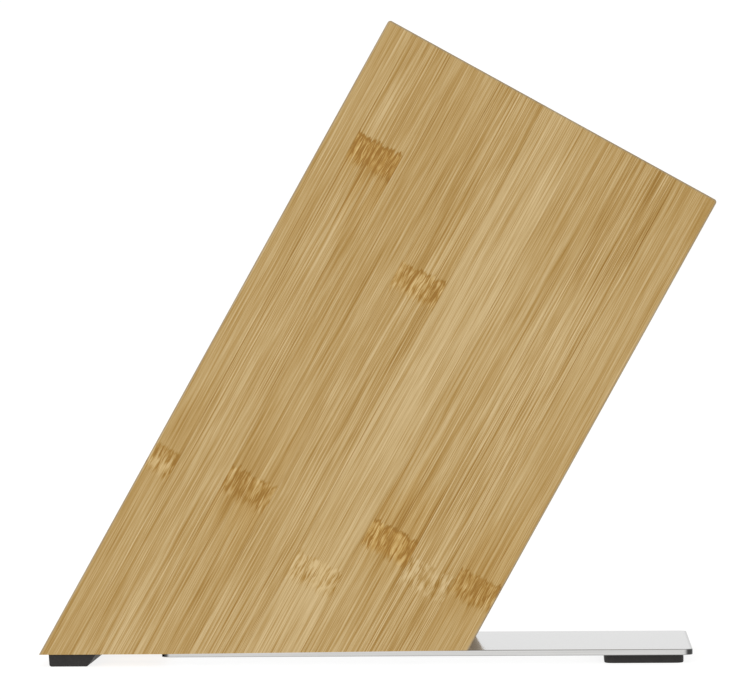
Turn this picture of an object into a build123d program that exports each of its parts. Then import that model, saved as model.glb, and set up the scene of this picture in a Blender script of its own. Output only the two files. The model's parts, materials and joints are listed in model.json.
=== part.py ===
from build123d import *
import math
import os

# Slanted bamboo knife block, empty, on a brushed stainless base plate with rubber feet.
# +Z is up, +X is the way the block leans (the user's side), and the floor is Z = 0.
# The origin is at the middle of the overall box, on the floor. Millimetres and degrees.
# "Across" is measured from the block's rear face to its front face, square to the lean.
# "Down" is measured from the top face along the lean, the way a blade goes in.

os.makedirs("parts", exist_ok=True)

# --- Block ---
lean = 60.6  # angle between the block's long edges and the floor
block_across = 138.5
rear_edge = 269.0  # length of the rear face from base to top
board_thickness = 20.0
slot_gap = 5.0  # thickness of the strips, and so the width of a knife slot
corner_round = 1.2  # top arrises, seen from the side
face_round = 0.8  # arrises round the two side faces
mouth_break = 0.6  # chamfer round each slot mouth

# --- Strips that stand between the boards and leave the slots ---
rear_rail = 14.0
front_rail = 14.0
centre_divider = 14.5
side_divider = 30.5
centre_rear_slot = 56.0
side_rear_slot = 46.0

# --- Dowels through boards and strips ---
dowel_radius = 3.0
dowel_bite = 10.0  # how far a dowel enters each side board
dowel_clearance = 0.05
dowel_end_space = 1.0
dowel_chamfer = 0.6
dowel_from_top = 45.0
dowel_from_base = 36.0  # along the front face

# --- Base plate ---
plate_thickness = 2.2
plate_length = 197.0
plate_start = 45.5  # from the block's rear bottom edge
plate_side_inset = 1.3  # the side boards keep a lip as thick as this, less the clearance
plate_corner = 3.4
plate_edge_break = 0.25
plate_recess = 0.9  # how far the plate is let into the block at its rear end
recess_clearance = 0.2

# --- Countersunk wood screws that hold the plate ---
plate_screw_radius = 2.0
plate_screw_head_radius = 3.8
plate_screw_length = 16.0
plate_screw_rear_margin = 16.0  # from the plate's rear end
plate_screw_front_margin = 21.0  # from the block's front bottom edge
screw_clearance = 0.2
thread_clearance = 0.05
countersink_angle = 90.0

# --- Rear foot, a rubber bar across the block ---
rear_foot_height = 4.5
rear_foot_length = 17.6
rear_foot_setback = 3.6  # from the block's rear bottom edge
rear_foot_draft = 0.3
rear_foot_slope = 3.2  # run of the slanting inner side
rear_foot_round = 0.9
rear_foot_inset = 1.0

# --- Pan head screws that hold the rear foot ---
foot_screw_radius = 1.75
foot_screw_head_radius = 3.3
foot_screw_head_height = 1.5
foot_screw_head_bevel = 0.6
foot_screw_length = 9.0
foot_screw_sink = 2.4  # depth of the pocket under the foot
foot_pocket_radius = 3.7

# --- Front foot, a rubber pad taped under the plate ---
tape_thickness = 0.3
tape_inset = 1.0
front_foot_length = 29.4
front_foot_margin = 3.3  # from the plate's front end
front_foot_side_margin = 3.4  # from the plate's long edges
front_foot_corner = 3.5
front_foot_round = 0.5

# --- Cross recess in every screw head ---
recess_width = 0.9
recess_depth = 1.0

# --- Worked out from the sizes above ---
angle = math.radians(lean)
along = Vector(math.cos(angle), 0, math.sin(angle))
across = Vector(math.sin(angle), 0, -math.cos(angle))
base_length = block_across / math.sin(angle)
front_edge = rear_edge - block_across / math.tan(angle)
corner_loss = corner_round * (along.X + across.X - 1)  # what the rounded front top corner takes off
height_loss = corner_round * (along.Z - across.Z - 1)  # what the rounded rear top corner takes off
overall_length = rear_edge * along.X + block_across * across.X - corner_loss
block_depth = 4 * board_thickness + 3 * slot_gap
base_z = rear_foot_height
plate_top = base_z + plate_recess
plate_bottom = plate_top - plate_thickness
front_foot_height = plate_bottom - tape_thickness
rear_bottom = Vector(-overall_length / 2, 0, base_z)
rear_top = rear_bottom + along * rear_edge
front_top = rear_top + across * block_across
plate_rear_x = rear_bottom.X + plate_start
plate_front_x = plate_rear_x + plate_length
plate_width = block_depth - 2 * plate_side_inset
top_plane = Plane(origin=rear_top, x_dir=across, z_dir=along)


def in_block(from_rear, down):
    """The (X, Z) of a point so far across from the rear face and so far down from the top."""
    point = rear_top + across * from_rear - along * down
    return point.X, point.Z


# Boards and gaps from the right side (-Y) to the left: boards are (name, lowest Y)
pitch = board_thickness + slot_gap
boards = [
    ("right_side_board", -block_depth / 2),
    ("right_inner_board", -block_depth / 2 + pitch),
    ("left_inner_board", slot_gap / 2),
    ("left_side_board", slot_gap / 2 + pitch),
]
# Gaps are (side, lowest Y, width of the rear slot, width of the middle strip)
gaps = [
    ("right", -slot_gap / 2 - pitch, side_rear_slot, side_divider),
    ("centre", -slot_gap / 2, centre_rear_slot, centre_divider),
    ("left", -slot_gap / 2 + pitch, side_rear_slot, side_divider),
]


def strip_spans(rear_slot, divider):
    """Where the rear, middle and front strips of one gap start and end, across the block."""
    middle_start = rear_rail + rear_slot
    return {
        "rear": (0, rear_rail),
        "middle": (middle_start, middle_start + divider),
        "front": (block_across - front_rail, block_across),
    }


# Each slot mouth: (middle across, middle Y, width across)
slot_mouths = []
for side, low_y, rear_slot, divider in gaps:
    spans = strip_spans(rear_slot, divider)
    for start, end in ((spans["rear"][1], spans["middle"][0]), (spans["middle"][1], spans["front"][0])):
        slot_mouths.append(((start + end) / 2, low_y + slot_gap / 2, end - start))

# Dowel centres lie in the rail strips and where the middle strips of all gaps overlap.
middle_spans = [strip_spans(rear_slot, divider)["middle"] for _, _, rear_slot, divider in gaps]
middle_overlap = (max(start for start, _ in middle_spans) + min(end for _, end in middle_spans)) / 2
dowel_across = (rear_rail / 2, middle_overlap, block_across - front_rail / 2)
dowel_down = (dowel_from_top, front_edge - dowel_from_base)
dowel_points = [in_block(u, v) for u in dowel_across for v in dowel_down]
dowel_length = block_depth - 2 * (board_thickness - dowel_bite) - dowel_end_space

# Plate screws stand in the side boards, foot screws in the inner boards.
plate_screw_y = (block_depth - board_thickness) / 2
plate_screw_rear_x = plate_rear_x + plate_screw_rear_margin
plate_screw_front_x = rear_bottom.X + base_length - plate_screw_front_margin
plate_screw_points = [
    (x, y) for x in (plate_screw_rear_x, plate_screw_front_x) for y in (-plate_screw_y, plate_screw_y)
]
foot_screw_y = pitch / 2
rear_foot_x = rear_bottom.X + rear_foot_setback
foot_screw_x = rear_foot_x + (rear_foot_length - rear_foot_slope) / 2
foot_screw_points = [(foot_screw_x, -foot_screw_y), (foot_screw_x, foot_screw_y)]
foot_head_z = foot_screw_sink  # underside of the rubber that the head bears on

# --- Side view of the block: square-cut top, and a base that rises over the plate to its top face ---
recess_x = plate_rear_x - recess_clearance
front_recess_x = rear_bottom.X + base_length + plate_recess / math.tan(angle)
with BuildSketch() as block_profile:
    with BuildLine():
        Polyline(
            (rear_bottom.X, base_z),
            (recess_x, base_z),
            (front_recess_x, plate_top),
            (front_top.X, front_top.Z),
            (rear_top.X, rear_top.Z),
            close=True,
        )
    make_face()
    fillet(block_profile.vertices().group_by(Axis.Y)[-1], corner_round)
    fillet(block_profile.vertices().group_by(Axis.X)[-1], corner_round)


# --- Recess for the plate, closed at the rear and the sides and open at the front ---
with BuildSketch() as plate_pocket:
    with Locations(((recess_x + plate_front_x) / 2, 0)):
        Rectangle(plate_front_x - recess_x, plate_width + 2 * recess_clearance)


def cut_plate_recess():
    """Takes the room for the plate out of the piece that is being built."""
    extrude(plate_pocket.sketch, amount=plate_top, mode=Mode.SUBTRACT)


def save(part, name):
    part.label = name
    export_step(part, f"parts/{name}.step")


def cut_slot_mouths(low_y, high_y):
    """Breaks the edges of the slot mouths that open between these two Y values."""
    reach = slot_gap / 2 + mouth_break
    for middle, y, width in slot_mouths:
        if low_y < y + reach and high_y > y - reach:
            with BuildSketch(top_plane) as mouth:
                with Locations((middle, y)):
                    Rectangle(width + 2 * mouth_break, 2 * reach)
            extrude(mouth.sketch, amount=-mouth_break, taper=45, mode=Mode.SUBTRACT)


# --- Boards, glued face to face with the strips between them ---
for name, low_y in boards:
    high_y = low_y + board_thickness
    outer = name.endswith("side_board")
    right = low_y < 0
    with BuildPart() as board:
        with BuildSketch(Plane.XZ.offset(-high_y)):
            add(block_profile.sketch_local)
        extrude(amount=board_thickness)
        if outer:
            side_face = board.faces().sort_by(Axis.Y)[0 if right else -1]
            upper_edges = side_face.edges().filter_by(lambda e: e.center().Z > plate_top + face_round)
            fillet(upper_edges, face_round)
        hole_depth = dowel_bite if outer else board_thickness
        hole_start = low_y + hole_depth if outer and not right else high_y
        with BuildSketch(Plane.XZ.offset(-hole_start)):
            with Locations(*dowel_points):
                Circle(dowel_radius + dowel_clearance)
        extrude(amount=hole_depth, mode=Mode.SUBTRACT)
        if outer:
            pilot_points = [p for p in plate_screw_points if low_y < p[1] < high_y]
            pilot = plate_screw_radius
            pilot_top = plate_bottom + plate_screw_length
        else:
            pilot_points = [p for p in foot_screw_points if low_y < p[1] < high_y]
            pilot = foot_screw_radius
            pilot_top = foot_head_z + foot_screw_length
        with BuildSketch(Plane.XY.offset(pilot_top + screw_clearance)):
            with Locations(*pilot_points):
                Circle(pilot + thread_clearance)
        extrude(amount=-pilot_top, mode=Mode.SUBTRACT)
        cut_plate_recess()
        cut_slot_mouths(low_y, high_y)
    save(board.part, name)

# --- Strips ---
for side, low_y, rear_slot, divider in gaps:
    for place, (start, end) in strip_spans(rear_slot, divider).items():
        with BuildPart() as strip:
            with BuildSketch(Plane.XZ.offset(-low_y - slot_gap)):
                add(block_profile.sketch_local)
                with Locations(in_block((start + end) / 2, rear_edge / 2)):
                    Rectangle(end - start, 2 * rear_edge, rotation=lean - 90, mode=Mode.INTERSECT)
                with Locations(*dowel_points):
                    Circle(dowel_radius + dowel_clearance, mode=Mode.SUBTRACT)
            extrude(amount=slot_gap)
            cut_plate_recess()
            cut_slot_mouths(low_y, low_y + slot_gap)
        save(strip.part, f"{side}_{place}_strip")

# --- Alignment dowels, a group of separate beech pins ---
with BuildPart() as alignment_dowels:
    with BuildSketch(Plane.XZ.offset(-dowel_length / 2)):
        with Locations(*dowel_points):
            Circle(dowel_radius)
    extrude(amount=dowel_length)
    chamfer(alignment_dowels.edges().filter_by(GeomType.CIRCLE), dowel_chamfer)
save(alignment_dowels.part, "alignment_dowels")

# --- Base plate ---
plate_middle_x = (plate_rear_x + plate_front_x) / 2
plate_under = Plane(origin=(0, 0, plate_bottom), x_dir=(1, 0, 0), z_dir=(0, 0, -1))
with BuildPart() as base_plate:
    with BuildSketch(Plane.XY.offset(plate_bottom)):
        with Locations((plate_middle_x, 0)):
            RectangleRounded(plate_length, plate_width, plate_corner)
    extrude(amount=plate_thickness)
    broken_edges = base_plate.faces().filter_by(Axis.Z).edges()
    fillet(broken_edges, plate_edge_break)
    with Locations(plate_under):
        with Locations(*plate_screw_points):
            CounterSinkHole(
                plate_screw_radius + screw_clearance,
                plate_screw_head_radius + screw_clearance,
                counter_sink_angle=countersink_angle,
            )
save(base_plate.part, "base_plate")


# --- Plate screws, a group ---
head_cone = (plate_screw_head_radius - plate_screw_radius) / math.tan(math.radians(countersink_angle / 2))
with BuildPart() as base_plate_screws:
    for x, y in plate_screw_points:
        with BuildSketch(Plane(origin=(x, y, plate_bottom), x_dir=(1, 0, 0), z_dir=(0, -1, 0))):
            with BuildLine():
                Polyline(
                    (0, 0),
                    (plate_screw_head_radius, 0),
                    (plate_screw_radius, head_cone),
                    (plate_screw_radius, plate_screw_length - plate_screw_radius),
                    (0, plate_screw_length),
                    close=True,
                )
            make_face()
        revolve(axis=Axis((x, y, 0), (0, 0, 1)))
    with BuildSketch(Plane.XY.offset(plate_bottom)):
        with Locations(*plate_screw_points):
            Rectangle(recess_width, 2 * plate_screw_radius)
            Rectangle(2 * plate_screw_radius, recess_width)
    extrude(amount=recess_depth, mode=Mode.SUBTRACT)
save(base_plate_screws.part, "base_plate_screws")

# --- Rear foot bar ---
rear_foot_width = block_depth - 2 * rear_foot_inset
with BuildPart() as rear_foot:
    with BuildSketch(Plane.XZ.offset(-rear_foot_width / 2)) as foot_profile:
        with BuildLine():
            Polyline(
                (rear_foot_x, rear_foot_height),
                (rear_foot_x + rear_foot_draft, 0),
                (rear_foot_x + rear_foot_length - rear_foot_slope, 0),
                (rear_foot_x + rear_foot_length, rear_foot_height),
                close=True,
            )
        make_face()
        fillet(foot_profile.vertices().group_by(Axis.Y)[0], rear_foot_round)
    extrude(amount=rear_foot_width)
    with BuildSketch(Plane.XY):
        with Locations(*foot_screw_points):
            Circle(foot_pocket_radius)
    extrude(amount=foot_screw_sink, mode=Mode.SUBTRACT)
    with BuildSketch(Plane.XY):
        with Locations(*foot_screw_points):
            Circle(foot_screw_radius + screw_clearance)
    extrude(amount=rear_foot_height, mode=Mode.SUBTRACT)
save(rear_foot.part, "rear_foot")

# --- Rear foot screws, a group ---
with BuildPart() as rear_foot_screws:
    for x, y in foot_screw_points:
        with BuildSketch(Plane(origin=(x, y, foot_head_z), x_dir=(1, 0, 0), z_dir=(0, -1, 0))):
            with BuildLine():
                Polyline(
                    (0, -foot_screw_head_height),
                    (foot_screw_head_radius - foot_screw_head_bevel, -foot_screw_head_height),
                    (foot_screw_head_radius, foot_screw_head_bevel - foot_screw_head_height),
                    (foot_screw_head_radius, 0),
                    (foot_screw_radius, 0),
                    (foot_screw_radius, foot_screw_length - foot_screw_radius),
                    (0, foot_screw_length),
                    close=True,
                )
            make_face()
        revolve(axis=Axis((x, y, 0), (0, 0, 1)))
    with BuildSketch(Plane.XY.offset(foot_head_z - foot_screw_head_height)):
        with Locations(*foot_screw_points):
            Rectangle(recess_width, 2 * foot_screw_radius)
            Rectangle(2 * foot_screw_radius, recess_width)
    extrude(amount=recess_depth, mode=Mode.SUBTRACT)
save(rear_foot_screws.part, "rear_foot_screws")

# --- Front foot pad and its tape ---
front_foot_x = plate_front_x - front_foot_margin - front_foot_length / 2
front_foot_width = plate_width - 2 * front_foot_side_margin
with BuildPart() as front_foot:
    with BuildSketch(Plane.XY):
        with Locations((front_foot_x, 0)):
            RectangleRounded(front_foot_length, front_foot_width, front_foot_corner)
    extrude(amount=front_foot_height)
    fillet(front_foot.faces().sort_by(Axis.Z)[0].edges(), front_foot_round)
save(front_foot.part, "front_foot")

with BuildPart() as front_foot_tape:
    with BuildSketch(Plane.XY.offset(front_foot_height)):
        with Locations((front_foot_x, 0)):
            RectangleRounded(
                front_foot_length - 2 * tape_inset,
                front_foot_width - 2 * tape_inset,
                front_foot_corner - tape_inset,
            )
    extrude(amount=tape_thickness)
save(front_foot_tape.part, "front_foot_tape")

print("overall length, depth, height:", overall_length, block_depth, rear_top.Z - height_loss)
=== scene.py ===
import json
from math import cos, radians, sin

import bmesh
import bpy
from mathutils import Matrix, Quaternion, Vector


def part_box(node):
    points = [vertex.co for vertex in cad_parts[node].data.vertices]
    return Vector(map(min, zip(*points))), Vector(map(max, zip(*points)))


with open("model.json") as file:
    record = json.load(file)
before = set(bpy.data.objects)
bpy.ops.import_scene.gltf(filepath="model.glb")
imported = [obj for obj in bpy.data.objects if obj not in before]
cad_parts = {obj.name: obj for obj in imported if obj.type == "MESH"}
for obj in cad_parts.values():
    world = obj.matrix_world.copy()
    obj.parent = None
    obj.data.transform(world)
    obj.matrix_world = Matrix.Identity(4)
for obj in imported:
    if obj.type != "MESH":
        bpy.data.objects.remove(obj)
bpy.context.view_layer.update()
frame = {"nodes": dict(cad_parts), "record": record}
nodes = frame["nodes"]
print("frame loaded:", len(nodes), "nodes")

# The block leans towards +X. Its own directions are across (from the rear face to the front face),
# down (from the top face along the grain, the way a blade goes in) and deep (from the right side, +Y).
blockShape = {
    "lean": radians(60.6),  # between the grain and the floor
}
lean = blockShape["lean"]
along = Vector((cos(lean), 0, sin(lean)))
across = Vector((sin(lean), 0, -cos(lean)))
sideLow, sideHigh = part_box("right_side_board")
rearTop = sideLow + along * ((sideHigh.z - sideLow.z) / sin(lean))


# a long lens, level with the block's middle and square to its right side
cameraSet = {
    "fromRear": 0.1955,  # metres in front of the rear bottom corner
    "distance": 1.700,  # metres from the right side face
    "height": 0.1395,
    "yaw": -2.357,  # degrees
    "pitch": -0.765,
    "roll": -0.457,
    "lens": 221.4,  # mm
    "sensor": 36.0,
}


def makeCamera(setting):
    data = bpy.data.cameras.new("camera")
    data.lens = setting["lens"]
    data.sensor_width = setting["sensor"]
    data.clip_start = 0.1
    data.clip_end = 60.0
    camera = bpy.data.objects.new("camera", data)
    bpy.context.scene.collection.objects.link(camera)
    yaw, pitch, roll = (radians(setting[key]) for key in ("yaw", "pitch", "roll"))
    ahead = Vector((sin(yaw) * cos(pitch), cos(yaw) * cos(pitch), sin(pitch)))
    camera.location = (sideLow.x + setting["fromRear"], sideLow.y - setting["distance"], setting["height"])
    camera.rotation_mode = "QUATERNION"
    camera.rotation_quaternion = ahead.to_track_quat("-Z", "Y") @ Quaternion((0, 0, 1), roll)
    bpy.context.scene.camera = camera


makeCamera(cameraSet)
print("camera placed")


# Helpers for building materials. A value given to an input may be a number, a tuple or another node's output.
def startMaterial(name):
    mat = bpy.data.materials.new(name)
    mat.use_nodes = True
    tree = mat.node_tree
    tree.nodes.clear()
    out = tree.nodes.new("ShaderNodeOutputMaterial")
    shader = tree.nodes.new("ShaderNodeBsdfPrincipled")
    tree.links.new(shader.outputs["BSDF"], out.inputs["Surface"])
    return mat, tree, shader


def feed(tree, socket, value):
    if isinstance(value, bpy.types.NodeSocket):
        tree.links.new(value, socket)
    else:
        socket.default_value = value


def add(tree, kind, inputs=None, **settings):
    node = tree.nodes.new("ShaderNode" + kind)
    for key, value in settings.items():
        setattr(node, key, value)
    for key, value in (inputs or {}).items():
        feed(tree, node.inputs[key], value)
    return node


def calc(tree, operation, a, b=0.0, c=0.0):
    return add(tree, "Math", {0: a, 1: b, 2: c}, operation=operation).outputs[0]


def times(tree, a, b):
    return calc(tree, "MULTIPLY", a, b)


# total plus value times by
def plus(tree, total, value, by=1.0):
    return calc(tree, "MULTIPLY_ADD", value, by, total)


def vec(tree, operation, a, b=(0, 0, 0)):
    node = add(tree, "VectorMath", {0: a, 1: b}, operation=operation)
    return node.outputs["Value" if operation == "DOT_PRODUCT" else "Vector"]


# how squarely a surface direction faces an axis, either way round: 0 to 1
def squareTo(tree, facing, axis):
    return calc(tree, "ABSOLUTE", vec(tree, "DOT_PRODUCT", facing, axis))


# a smooth step of value, from start at low to end at high
def step(tree, value, low, high, start=0.0, end=1.0):
    inputs = {"Value": value, "From Min": low, "From Max": high, "To Min": start, "To Max": end}
    return add(tree, "MapRange", inputs, interpolation_type="SMOOTHSTEP").outputs["Result"]


def blend(tree, factor, low, high):
    return add(tree, "Mix", {"Factor": factor, 2: low, 3: high}, data_type="FLOAT").outputs[0]


def blendColour(tree, factor, low, high):
    return add(tree, "Mix", {"Factor": factor, 6: low, 7: high}, data_type="RGBA").outputs[2]


def join(tree, x, y, z):
    return add(tree, "CombineXYZ", {0: x, 1: y, 2: z}).outputs[0]


def objectPlace(tree):
    return add(tree, "TexCoord").outputs["Object"]


def noise(tree, where, detail=2.0, roughness=0.5, scale=1.0):
    inputs = {"Vector": where, "Scale": scale, "Detail": detail, "Roughness": roughness}
    return add(tree, "TexNoise", inputs, noise_dimensions="3D").outputs["Fac"]


def centredNoise(tree, where, detail=2.0, roughness=0.5):
    return calc(tree, "SUBTRACT", noise(tree, where, detail, roughness), 0.5)


def cells(tree, where, scale=1.0):
    inputs = {"Vector": where, "Scale": scale}
    return add(tree, "TexVoronoi", inputs, feature="F1", voronoi_dimensions="3D").outputs["Distance"]


def ramp(tree, value, stops, interpolation="LINEAR"):
    node = add(tree, "ValToRGB", {"Fac": value})
    node.color_ramp.interpolation = interpolation
    points = node.color_ramp.elements
    while len(points) < len(stops):
        points.new(0.5)
    for point, (place, colour) in zip(points, stops):
        point.position = place
    for point, (place, colour) in zip(points, stops):
        point.color = (*colour, 1.0)
    return node.outputs["Color"]


def channels(tree, colour):
    return add(tree, "SeparateColor", {0: colour}).outputs


# a colour given in 0 to 255, as linear light
def tint(*shades):
    return tuple(((c / 255 + 0.055) / 1.055) ** 2.4 if c > 10 else c / 255 / 12.92 for c in shades)


def roughen(tree, shader, height, strength, depth):
    bump = add(tree, "Bump", {"Height": height, "Strength": strength, "Distance": depth})
    feed(tree, shader.inputs["Normal"], bump.outputs["Normal"])


# Pressed bamboo, in plies of strips. Widths and lengths are in mm, "show" is how strongly a thing darkens
# (below 0) or varies the tone, which runs from 0, dark, to 1, light.
bambooSet = {
    "stripWidth": 18.55,  # across
    "firstJoint": 10.4,  # from the rear face to the first joint on the right side
    "plyThickness": 5.0,  # deep
    "readInside": 0.00015,  # metres under the surface, so that a face never falls between two plies
    "middleTone": 0.625,
    "fibre": {"width": 0.27, "length": 32.0, "show": 4.6},
    "thread": {"width": 0.5, "length": 90.0, "show": -0.42},
    "streak": {"width": 2.4, "length": 70.0, "show": 0.7},
    "cloud": {"width": 9.0, "length": 45.0, "show": 0.28},
    "bundle": {"width": 1.5, "length": 55.0, "show": -0.16},
    "wander": 0.7,  # how far the grain strays sideways
    "topEnd": 70.0,  # a strip's tone changes over this length at its top end
    "knuckle": {
        "height": 11.5,
        "ragged": 6.0,  # how unevenly it starts and stops
        "strokes": (1.6, 0.13),  # strokes to the mm, across and down
        "swirl": 2.2,  # how far they wave sideways
        "paleShow": (0.36, -0.16),  # of the pale strokes in a light knuckle, and the change in a dark one
        "brownShow": (-0.26, -0.36),
        "darkShow": -0.12,
        "patches": (0.42, 0.22),  # to the mm, across and down
        "patchShow": 1.1,
        "rimShow": (-0.55, 0.0),  # the dark line on top comes and goes between these
    },
    "stainMark": {"reach": (8.0, 58.0), "show": -0.38, "warm": 0.6},
    "warmth": (1.05, 0.97, 0.72),  # what a stained knuckle does to the colour
    "jointShow": -0.13,
    "endGrain": {
        "tone": 0.46,
        "stripShow": 1.2,
        "width": 0.8,
        "length": 300.0,
        "show": -0.62,
        "jointShow": -0.20,
    },
    "paintedArrisShade": (150, 142, 126),  # painted shade: the small rounds are given a grey tone for the shade they sit in
    "paintedArrisShadeAmount": 0.45,
    "roughness": {"start": 0.46, "fibre": -0.35, "endGrain": 0.14, "knuckle": 0.06},
    "relief": {"fibre": 0.5, "bundle": -0.12, "stroke": 0.35, "joint": -0.9, "endDot": -0.5},
    "gloss": 0.35,
    "bump": (0.5, 0.00012),  # strength, and depth in metres
    "oil": (0.895, 0.87, 0.735),  # the oil's colour, over every tone
    # the tones from dark to light
    "tones": [
        (0.0, (150, 110, 36)),
        (0.25, (167, 130, 63)),
        (0.5, (182, 150, 95)),
        (0.75, (197, 170, 125)),
        (1.0, (213, 189, 150)),
    ],
}
# The eight strips of the right side, from the rear: tone, how it changes towards the top end, grain contrast,
# where the knuckle starts (mm down), how dark it is, and how far it stains the grain above and below
rightSideStrips = [
    {"tone": -0.05, "top": 0.05, "lines": 0.42, "knuckle": 178.0, "dark": 0.4, "above": 0.1, "below": 0.15},
    {"tone": 0.02, "top": -0.11, "lines": 0.5, "knuckle": 41.4, "dark": 1.0, "above": 0.05, "below": 0.85},
    {"tone": -0.06, "top": 0.02, "lines": 0.45, "knuckle": 171.5, "dark": 0.55, "above": 0.2, "below": 0.6},
    {"tone": -0.02, "top": -0.08, "lines": 0.55, "knuckle": 75.0, "dark": 0.62, "above": 0.2, "below": 0.1},
    {"tone": 0.13, "top": -0.05, "lines": 0.44, "knuckle": 187.0, "dark": 0.2, "above": 0.05, "below": 0.0},
    {"tone": 0.0, "top": -0.09, "lines": 0.46, "knuckle": 163.5, "dark": 1.0, "above": 0.6, "below": 0.35},
    {"tone": 0.02, "top": -0.15, "lines": 0.65, "knuckle": 169.0, "dark": 0.0, "above": 0.1, "below": 0.05},
    {"tone": -0.01, "top": -0.08, "lines": 0.37, "knuckle": 163.5, "dark": 0.7, "above": 0.45, "below": 0.35},
]
# the same for every other strip, drawn at random between these
otherStrips = {
    "tone": (-0.14, 0.14),
    "top": (-0.12, 0.05),
    "lines": (0.35, 0.75),
    "knuckle": (-30.0, 315.0),
    "dark": (0.3, 1.0),
    "above": (0.0, 0.7),
    "below": (0.0, 0.8),
}


def makeBamboo(bamboo, knownStrips, randomStrips):
    mat, tree, shader = startMaterial("bamboo")

    # the block's own directions in mm: u across, v down, w deep
    facing = add(tree, "NewGeometry").outputs["True Normal"]
    inside = vec(tree, "MULTIPLY", facing, (-bamboo["readInside"],) * 3)
    point = vec(tree, "SUBTRACT", vec(tree, "ADD", objectPlace(tree), inside), rearTop)
    u = vec(tree, "DOT_PRODUCT", point, across * 1000)
    v = vec(tree, "DOT_PRODUCT", point, along * -1000)
    w = vec(tree, "DOT_PRODUCT", point, (0, 1000, 0))

    # which ply, and which strip of it; the joints of the inner plies are shifted at random
    plyAt = calc(tree, "DIVIDE", w, bamboo["plyThickness"])
    ply = calc(tree, "FLOOR", plyAt)
    plyPlace = calc(tree, "FRACT", plyAt)
    isOuter = calc(tree, "LESS_THAN", ply, 0.5)
    plyNoise = add(tree, "TexWhiteNoise", {"W": calc(tree, "ADD", ply, 3.7)}, noise_dimensions="1D")
    plyRandom = plyNoise.outputs["Value"]
    shift = times(tree, times(tree, plyRandom, calc(tree, "SUBTRACT", 1.0, isOuter)), bamboo["stripWidth"])
    firstJoint = calc(tree, "ADD", shift, bamboo["firstJoint"])
    stripAt = calc(tree, "DIVIDE", calc(tree, "SUBTRACT", u, firstJoint), bamboo["stripWidth"])
    strip = calc(tree, "FLOOR", stripAt)
    stripPlace = calc(tree, "SUBTRACT", stripAt, strip)

    # the right side's strips are known one by one, the rest are random; ramps hold three values a strip
    cell = join(tree, calc(tree, "ADD", strip, 11.3), calc(tree, "ADD", ply, 5.1), 0.0)
    cellTwo = vec(tree, "ADD", cell, (40, 17, 0))
    randomOne, randomTwo = (
        channels(tree, add(tree, "TexWhiteNoise", {"Vector": spot}, noise_dimensions="2D").outputs["Color"])
        for spot in (cell, cellTwo)
    )
    count, middle, longest = len(knownStrips), 0.5, 300.0
    pick = calc(tree, "DIVIDE", calc(tree, "ADD", strip, 1.5), count)

    def known(values):
        stops = [(k / count, values(one)) for k, one in enumerate(knownStrips)]
        return channels(tree, ramp(tree, pick, stops, "CONSTANT"))

    knownOne = known(lambda one: (one["tone"] + middle, one["lines"], one["knuckle"] / longest))
    knownTwo = known(lambda one: (one["dark"], one["above"], one["below"]))
    knownThree = known(lambda one: (one["top"] + middle, 0.0, 0.0))

    def choose(name, byHand, random):
        low, high = randomStrips[name]
        return blend(tree, isOuter, plus(tree, low, random, high - low), byHand)

    tone = choose("tone", calc(tree, "SUBTRACT", knownOne[0], middle), randomOne[0])
    topEnd = choose("top", calc(tree, "SUBTRACT", knownThree[0], middle), randomOne[2])
    tone = plus(tree, tone, topEnd, step(tree, v, 0.0, bamboo["topEnd"], 1.0, 0.0))
    lines = choose("lines", knownOne[1], randomOne[1])
    knuckle = choose("knuckle", times(tree, knownOne[2], longest), randomOne[2])
    dark = choose("dark", knownTwo[0], randomTwo[0])
    above = choose("above", knownTwo[1], randomTwo[1])
    below = choose("below", knownTwo[2], randomTwo[2])

    # fibres wander a little and differ from strip to strip
    strayAt = join(tree, times(tree, strip, 7.3), times(tree, ply, 3.1), times(tree, v, 0.018))
    strays = centredNoise(tree, strayAt, 1.0)
    grainU = plus(tree, plus(tree, u, strays, bamboo["wander"]), strip, 31.7)
    grainW = plus(tree, w, ply, 12.9)

    def spotAt(uHere, byU, byW, byV, liftU=0.0):
        return join(tree, plus(tree, liftU, uHere, byU), times(tree, grainW, byW), times(tree, v, byV))

    def grain(name, detail=1.0, roughness=0.5, liftU=0.0):
        width, length = bamboo[name]["width"], bamboo[name]["length"]
        return centredNoise(tree, spotAt(grainU, 1 / width, 1 / width, 1 / length, liftU), detail, roughness)

    def grainCells(name):
        width, length = bamboo[name]["width"], bamboo[name]["length"]
        return cells(tree, spotAt(grainU, 1 / width, 1 / width, 1 / length))

    fibres = grain("fibre", 3.0, 0.66)
    threads = step(tree, grain("thread", liftU=90.0), 0.05, 0.16)
    streaks = grain("streak", liftU=20.0)
    clouds = grain("cloud", liftU=60.0)
    bundles = step(tree, grainCells("bundle"), 0.10, 0.34, 1.0, 0.0)

    # the knuckle, a ragged band of short wavy strokes, pale and brown; fall is mm below its start
    knot = bamboo["knuckle"]
    ragged = centredNoise(tree, spotAt(grainU, 0.9, 1.0, 0.05), 2.0, 0.6)
    fall = plus(tree, calc(tree, "SUBTRACT", v, knuckle), ragged, -knot["ragged"])
    fadeFrom, fadeTo = knot["height"] - 3.5, knot["height"] + 1.0
    band = times(tree, step(tree, fall, -0.8, 0.8), step(tree, fall, fadeFrom, fadeTo, 1.0, 0.0))
    swirl = centredNoise(tree, spotAt(grainU, 0.4, 0.4, 0.15), 1.0)
    strokeU = plus(tree, grainU, swirl, knot["swirl"])
    wide, tall = knot["strokes"]
    strokes = noise(tree, spotAt(strokeU, wide, wide, tall), 2.0, 0.6)
    pale = step(tree, strokes, 0.50, 0.60)
    brown = step(tree, strokes, 0.38, 0.49, 1.0, 0.0)
    wide, tall = knot["patches"]
    patch = centredNoise(tree, spotAt(grainU, wide, wide, tall), 1.0)
    rim = times(tree, step(tree, fall, -0.9, 0.0), step(tree, fall, 0.3, 1.3, 1.0, 0.0))

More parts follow.
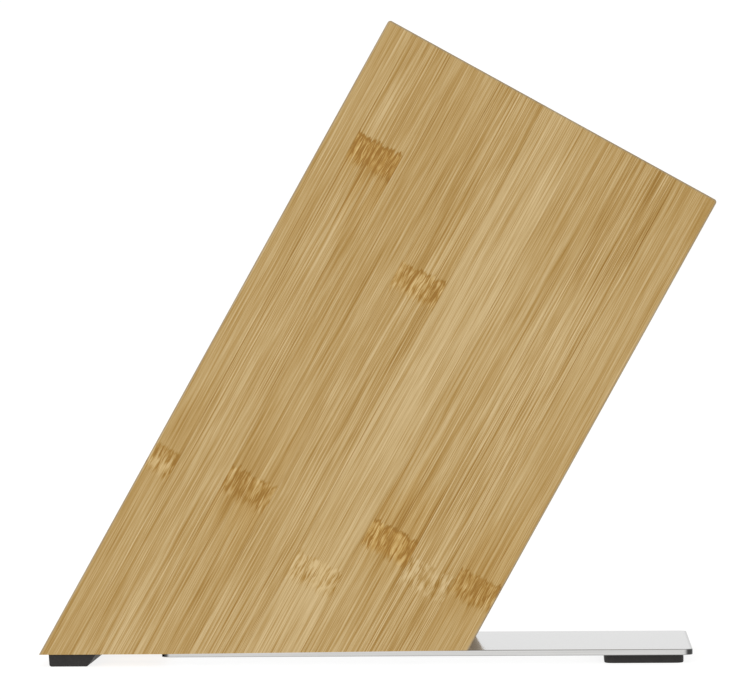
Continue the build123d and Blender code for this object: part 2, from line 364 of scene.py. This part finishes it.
    # stains run out from the knuckle in flames of uneven length
    mark = bamboo["stainMark"]
    flame = noise(tree, spotAt(grainU, 0.45, 0.45, 0.01), 2.0, 0.6)
    reach = step(tree, flame, 0.25, 0.75, *mark["reach"])
    fadeBelow = times(tree, step(tree, fall, 0.0, 3.0), step(tree, fall, 3.0, reach, 1.0, 0.0))
    reachUp = times(tree, reach, -1.0)
    fadeAbove = times(tree, step(tree, fall, reachUp, -0.5), step(tree, fall, -1.0, 1.0, 1.0, 0.0))
    stain = plus(tree, times(tree, fadeAbove, above), fadeBelow, below)
    runs = step(tree, calc(tree, "ADD", streaks, fibres), -0.20, 0.12, 1.0, 0.35)

    # joints between strips, and between plies where those show
    def fromEdge(place, width):
        fromMiddle = calc(tree, "ABSOLUTE", calc(tree, "SUBTRACT", place, 0.5))
        return times(tree, calc(tree, "SUBTRACT", 0.5, fromMiddle), width)

    stripJoint = step(tree, fromEdge(stripPlace, bamboo["stripWidth"]), 0.02, 0.28, 1.0, 0.0)
    plyJoint = step(tree, fromEdge(plyPlace, bamboo["plyThickness"]), 0.02, 0.22, 1.0, 0.0)
    plyShows = step(tree, squareTo(tree, facing, (0, 1, 0)), 0.5, 0.8, 1.0, 0.0)
    joint = calc(tree, "MAXIMUM", stripJoint, times(tree, plyJoint, plyShows))

    # the tone along the grain
    shade = calc(tree, "ADD", tone, bamboo["middleTone"])
    for name, pattern in (("fibre", fibres), ("streak", streaks), ("thread", threads), ("bundle", bundles)):
        shade = plus(tree, shade, times(tree, pattern, lines), bamboo[name]["show"])
    shade = plus(tree, shade, clouds, bamboo["cloud"]["show"])
    shade = plus(tree, shade, times(tree, stain, runs), mark["show"])
    (paleStart, paleChange), (brownStart, brownChange) = knot["paleShow"], knot["brownShow"]
    paleBy = plus(tree, paleStart, dark, paleChange)
    brownBy = plus(tree, brownStart, dark, brownChange)
    worked = plus(tree, times(tree, brown, brownBy), pale, paleBy)
    worked = plus(tree, plus(tree, worked, dark, knot["darkShow"]), patch, knot["patchShow"])
    shade = plus(tree, shade, band, worked)
    shade = plus(tree, shade, times(tree, rim, dark), step(tree, patch, -0.12, 0.16, *knot["rimShow"]))
    shade = plus(tree, shade, joint, bamboo["jointShow"])

    # end grain on the top and base: darker, with a dot for each bundle, denser towards one side of a ply
    ends = bamboo["endGrain"]
    endOn = step(tree, squareTo(tree, facing, along), 0.55, 0.9)
    dot = step(tree, grainCells("endGrain"), 0.18, 0.42, 1.0, 0.0)
    crowd = step(tree, plyPlace, 0.0, 1.0, 0.35, 1.0)
    endShade = plus(tree, ends["tone"], tone, ends["stripShow"])
    endShade = plus(tree, endShade, times(tree, dot, crowd), ends["show"])
    endShade = plus(tree, endShade, joint, ends["jointShow"])
    shade = blend(tree, endOn, shade, endShade)

    def oiled(shades):
        return tuple(c * oil for c, oil in zip(tint(*shades), bamboo["oil"]))

    colour = ramp(tree, shade, [(place, oiled(shades)) for place, shades in bamboo["tones"]])
    heat = calc(tree, "MAXIMUM", times(tree, stain, mark["warm"]), times(tree, band, dark))
    colour = blendColour(tree, heat, colour, vec(tree, "MULTIPLY", colour, bamboo["warmth"]))
    # painted shade: where the surface is square to none of the block's directions, on the small rounds, the
    # colour is blended towards a grey
    squareOn = squareTo(tree, facing, along)
    for axis in (across, (0, 1, 0), (0, 0, 1)):
        squareOn = calc(tree, "MAXIMUM", squareOn, squareTo(tree, facing, axis))
    paintedArrisShade = step(tree, squareOn, 0.93, 0.995, bamboo["paintedArrisShadeAmount"], 0.0)
    colour = blendColour(tree, paintedArrisShade, colour, (*tint(*bamboo["paintedArrisShade"]), 1))
    feed(tree, shader.inputs["Base Color"], colour)

    roughness = bamboo["roughness"]["start"]
    for name, pattern in (("fibre", fibres), ("endGrain", endOn), ("knuckle", band)):
        roughness = plus(tree, roughness, pattern, bamboo["roughness"][name])
    feed(tree, shader.inputs["Roughness"], roughness)
    shader.inputs["Specular IOR Level"].default_value = bamboo["gloss"]
    reliefs = {
        "fibre": fibres,
        "bundle": bundles,
        "stroke": times(tree, band, pale),
        "joint": joint,
        "endDot": times(tree, endOn, dot),
    }
    height = 0.0
    for name, pattern in reliefs.items():
        height = plus(tree, height, pattern, bamboo["relief"][name])
    roughen(tree, shader, height, *bamboo["bump"])
    return mat


# A plain finish: one pattern gives the colour, the roughness and the relief. Sizes are per metre.
beechSet = {
    "poreSize": (2600, 220, 2600),
    "tones": [(0.3, tint(176, 128, 88)), (0.55, tint(206, 164, 122)), (0.8, tint(222, 186, 148))],
    "roughness": (0.5, 0.2),
    "bump": (0.4, 0.0001),
}
zincSet = {
    "blotchSize": 900.0,
    "tones": [(0.3, (0.42, 0.42, 0.40)), (0.7, (0.62, 0.62, 0.60))],
    "roughness": (0.2, 0.3),
    "bump": (0.3, 0.00004),
}
tapeSet = {
    "cellSize": 3500.0,
    "tones": [(0.1, tint(70, 70, 70)), (0.6, tint(104, 104, 103))],
    "roughness": (0.7, 0.2),
    "bump": (0.4, 0.00005),
}
rubberSet = {
    "grainSize": 2400.0,
    "patchSize": 160.0,
    "tones": [(0.3, tint(28, 26, 25)), (0.5, tint(38, 36, 35)), (0.7, tint(50, 48, 46))],
    "roughness": (0.52, 0.25),
    "gloss": 0.3,
    "bump": (0.5, 0.00006),
}


def plainFinish(tree, shader, finish, colourFrom, roughFrom, bumpFrom):
    start, by = finish["roughness"]
    feed(tree, shader.inputs["Base Color"], ramp(tree, colourFrom, finish["tones"]))
    feed(tree, shader.inputs["Roughness"], plus(tree, start, roughFrom, by))
    roughen(tree, shader, bumpFrom, *finish["bump"])


def makeBeech(beech):
    mat, tree, shader = startMaterial("beech")
    pores = noise(tree, vec(tree, "MULTIPLY", objectPlace(tree), beech["poreSize"]), 3.0, 0.6)
    plainFinish(tree, shader, beech, pores, pores, pores)
    return mat


def makeZinc(zinc):
    mat, tree, shader = startMaterial("zincScrew")
    blotch = noise(tree, objectPlace(tree), 3.0, 0.6, zinc["blotchSize"])
    plainFinish(tree, shader, zinc, blotch, blotch, blotch)
    shader.inputs["Metallic"].default_value = 1.0
    return mat


def makeTape(tape):
    mat, tree, shader = startMaterial("foamTape")
    foam = cells(tree, objectPlace(tree), tape["cellSize"])
    plainFinish(tree, shader, tape, foam, foam, foam)
    return mat


def makeRubber(rubber):
    mat, tree, shader = startMaterial("charcoalRubber")
    where = objectPlace(tree)
    fine = noise(tree, where, 3.0, 0.6, rubber["grainSize"])
    patches = noise(tree, where, 2.0, 0.5, rubber["patchSize"])
    both = plus(tree, times(tree, fine, 0.5), patches, 0.5)
    plainFinish(tree, shader, rubber, both, patches, fine)
    shader.inputs["Specular IOR Level"].default_value = rubber["gloss"]
    return mat


# Steel plate, brushed along its length, with painted dark reflections on its edge rounds and corner rounds
# and along its free end. Sizes are in metres.
plateSet = {
    "lineWidth": 0.00013,
    "lineLength": 0.035,
    "lineShow": 0.35,
    "roughness": 0.055,
    "lineRoughness": 0.06,
    "pull": 0.5,  # how far the brushing draws a reflection out across the lines
    "top": 0.60,
    "grazing": 0.80,  # reflections dull a little at a low angle
    "edgeFace": 0.60,
    "paintedEdgeReflection": 0.30,  # painted dark reflection: the small rounds along top and bottom are given a darker steel shade for the dim reflection they show
    "paintedEndReflection": 0.0013,  # width of the darker line painted along the free end, a painted dark reflection of the edge that the punch rolled over
    "paintedEndReflectionShow": -0.7,
    "paintedCornerReflection": 0.055,  # painted dark reflection: the four upright corner rounds are given a near-black steel shade for the dark surroundings they reflect
    "blueLoss": 0.99,
    "bump": (0.10, 0.00002),  # strength and depth
}


def makeBrushedSteel(plate):
    mat, tree, shader = startMaterial("brushedSteel")
    where = objectPlace(tree)

    def lineNoise(byLength, byWidth, detail, roughness):
        lengthwise, thin = byLength / plate["lineLength"], byWidth / plate["lineWidth"]
        return centredNoise(tree, vec(tree, "MULTIPLY", where, (lengthwise, thin, thin)), detail, roughness)

    brushed = plus(tree, lineNoise(1.0, 1.0, 3.0, 0.7), lineNoise(0.25, 0.2, 2.0, 0.5), 0.5)

    facing = add(tree, "NewGeometry").outputs["Normal"]
    upright = squareTo(tree, facing, (0, 0, 1))
    isFlat = step(tree, upright, 0.90, 0.99)
    isSide = step(tree, upright, 0.05, 0.35, 1.0, 0.0)
    isCorner = times(tree, isSide, step(tree, squareTo(tree, facing, (1, 0, 0)), 0.03, 0.50))
    # painted dark reflection: the small edge rounds get a darker steel shade than the flat top
    shade = blend(tree, isFlat, plate["paintedEdgeReflection"], plate["top"])
    shade = blend(tree, isSide, shade, plate["edgeFace"])
    # painted dark reflection: the upright corner rounds are made near-black
    shade = blend(tree, isCorner, shade, plate["paintedCornerReflection"])
    x = add(tree, "SeparateXYZ", {0: where}).outputs["X"]
    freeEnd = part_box("base_plate")[1].x
    # painted dark reflection: a darker line along the free end of the flat top
    paintedEndReflection = times(tree, isFlat, step(tree, x, freeEnd - plate["paintedEndReflection"], freeEnd - 0.0003))
    shade = times(tree, shade, plus(tree, 1.0, paintedEndReflection, plate["paintedEndReflectionShow"]))
    shade = times(tree, shade, plus(tree, 1.0, brushed, plate["lineShow"]))
    grey = add(tree, "CombineColor", {0: shade, 1: shade, 2: times(tree, shade, plate["blueLoss"])})
    feed(tree, shader.inputs["Base Color"], grey.outputs["Color"])
    shader.inputs["Metallic"].default_value = 1.0
    shader.inputs["Specular Tint"].default_value = (*(plate["grazing"],) * 3, 1)
    shader.inputs["Anisotropic"].default_value = plate["pull"]
    feed(tree, shader.inputs["Tangent"], join(tree, 0.0, 1.0, 0.0))
    feed(tree, shader.inputs["Roughness"], plus(tree, plate["roughness"], brushed, plate["lineRoughness"]))
    roughen(tree, shader, brushed, *plate["bump"])
    return mat


slotMaterials = {
    "bamboo": makeBamboo(bambooSet, rightSideStrips, otherStrips),
    "beech": makeBeech(beechSet),
    "brushed_plate": makeBrushedSteel(plateSet),
    "zinc_screw": makeZinc(zincSet),
    "foot_rubber": makeRubber(rubberSet),
    "mounting_tape": makeTape(tapeSet),
}
slotOf = {sub["node"]: sub.get("material_slot") for sub in frame["record"]["subparts"]}
print("slots:", slotOf)
for name, obj in nodes.items():
    obj.data.materials.clear()
    obj.data.materials.append(slotMaterials[slotOf[name]])
print("materials on", len(nodes), "nodes")


# A pale floor that curves up far away, and soft light. Sizes are in metres.
studioSet = {
    "flat": 4.0,  # to where the floor starts to rise
    "rise": 2.0,
    "around": 96,
    "risingRings": 12,
    "floorShades": [(0.3, (0.22, 0.22, 0.22)), (0.7, (0.25, 0.25, 0.25))],
    "glow": 0.86,  # the floor's own light, so that shadows on it stay faint
    "world": 0.55,
}
softboxes = [
    {"name": "overheadBox", "place": (0.0, -0.3, 2.2), "size": (2.4, 2.0), "power": 8.0},
    {"name": "frontBox", "place": (-1.1, -2.4, 0.9), "size": (1.8, 1.4), "power": 17.0},
]
softboxAim = (0, 0, 0.1)


def makeFloorMesh(studio):
    flat, rise, around, rising = (studio[key] for key in ("flat", "rise", "around", "risingRings"))
    rings = [(flat * 0.5, 0.0), (flat, 0.0)]
    for k in range(1, rising + 1):
        turn = radians(90 * k / rising)
        rings.append((flat + rise * sin(turn), rise * (1 - cos(turn))))
    mesh = bpy.data.meshes.new("studioFloor")
    bm = bmesh.new()
    last = None
    for radius, height in rings:
        turns = [radians(360 * k / around) for k in range(around)]
        ring = [bm.verts.new((radius * cos(turn), radius * sin(turn), height)) for turn in turns]
        if last is None:
            bm.faces.new(ring)
        else:
            for k in range(around):
                following = (k + 1) % around
                bm.faces.new((last[k], ring[k], ring[following], last[following]))
        last = ring
    bm.normal_update()
    bm.to_mesh(mesh)
    bm.free()
    for face in mesh.polygons:
        face.use_smooth = True
    return mesh


def makeStudio(studio):
    mesh = makeFloorMesh(studio)
    floor = bpy.data.objects.new("studioFloor", mesh)
    bpy.context.scene.collection.objects.link(floor)
    mat, tree, shader = startMaterial("paleFloor")
    paper = noise(tree, objectPlace(tree), 3.0, 0.6, 60.0)
    feed(tree, shader.inputs["Base Color"], ramp(tree, paper, studio["floorShades"]))
    shader.inputs["Roughness"].default_value = 0.9
    shader.inputs["Specular IOR Level"].default_value = 0.1
    shader.inputs["Emission Color"].default_value = (1, 1, 1, 1)
    shader.inputs["Emission Strength"].default_value = studio["glow"]
    mesh.materials.append(mat)

    world = bpy.data.worlds.new("studio")
    bpy.context.scene.world = world
    world.use_nodes = True
    sky = world.node_tree.nodes["Background"]
    sky.inputs["Color"].default_value = (1, 1, 1, 1)
    sky.inputs["Strength"].default_value = studio["world"]


def makeSoftbox(box):
    data = bpy.data.lights.new(box["name"], "AREA")
    data.shape = "RECTANGLE"
    data.size, data.size_y = box["size"]
    data.energy = box["power"]
    lamp = bpy.data.objects.new(box["name"], data)
    bpy.context.scene.collection.objects.link(lamp)
    lamp.location = box["place"]
    lamp.rotation_mode = "QUATERNION"
    lamp.rotation_quaternion = (Vector(softboxAim) - Vector(box["place"])).to_track_quat("-Z", "Y")


makeStudio(studioSet)
for box in softboxes:
    makeSoftbox(box)
bpy.context.scene.view_settings.view_transform = "Standard"
print("studio lit")
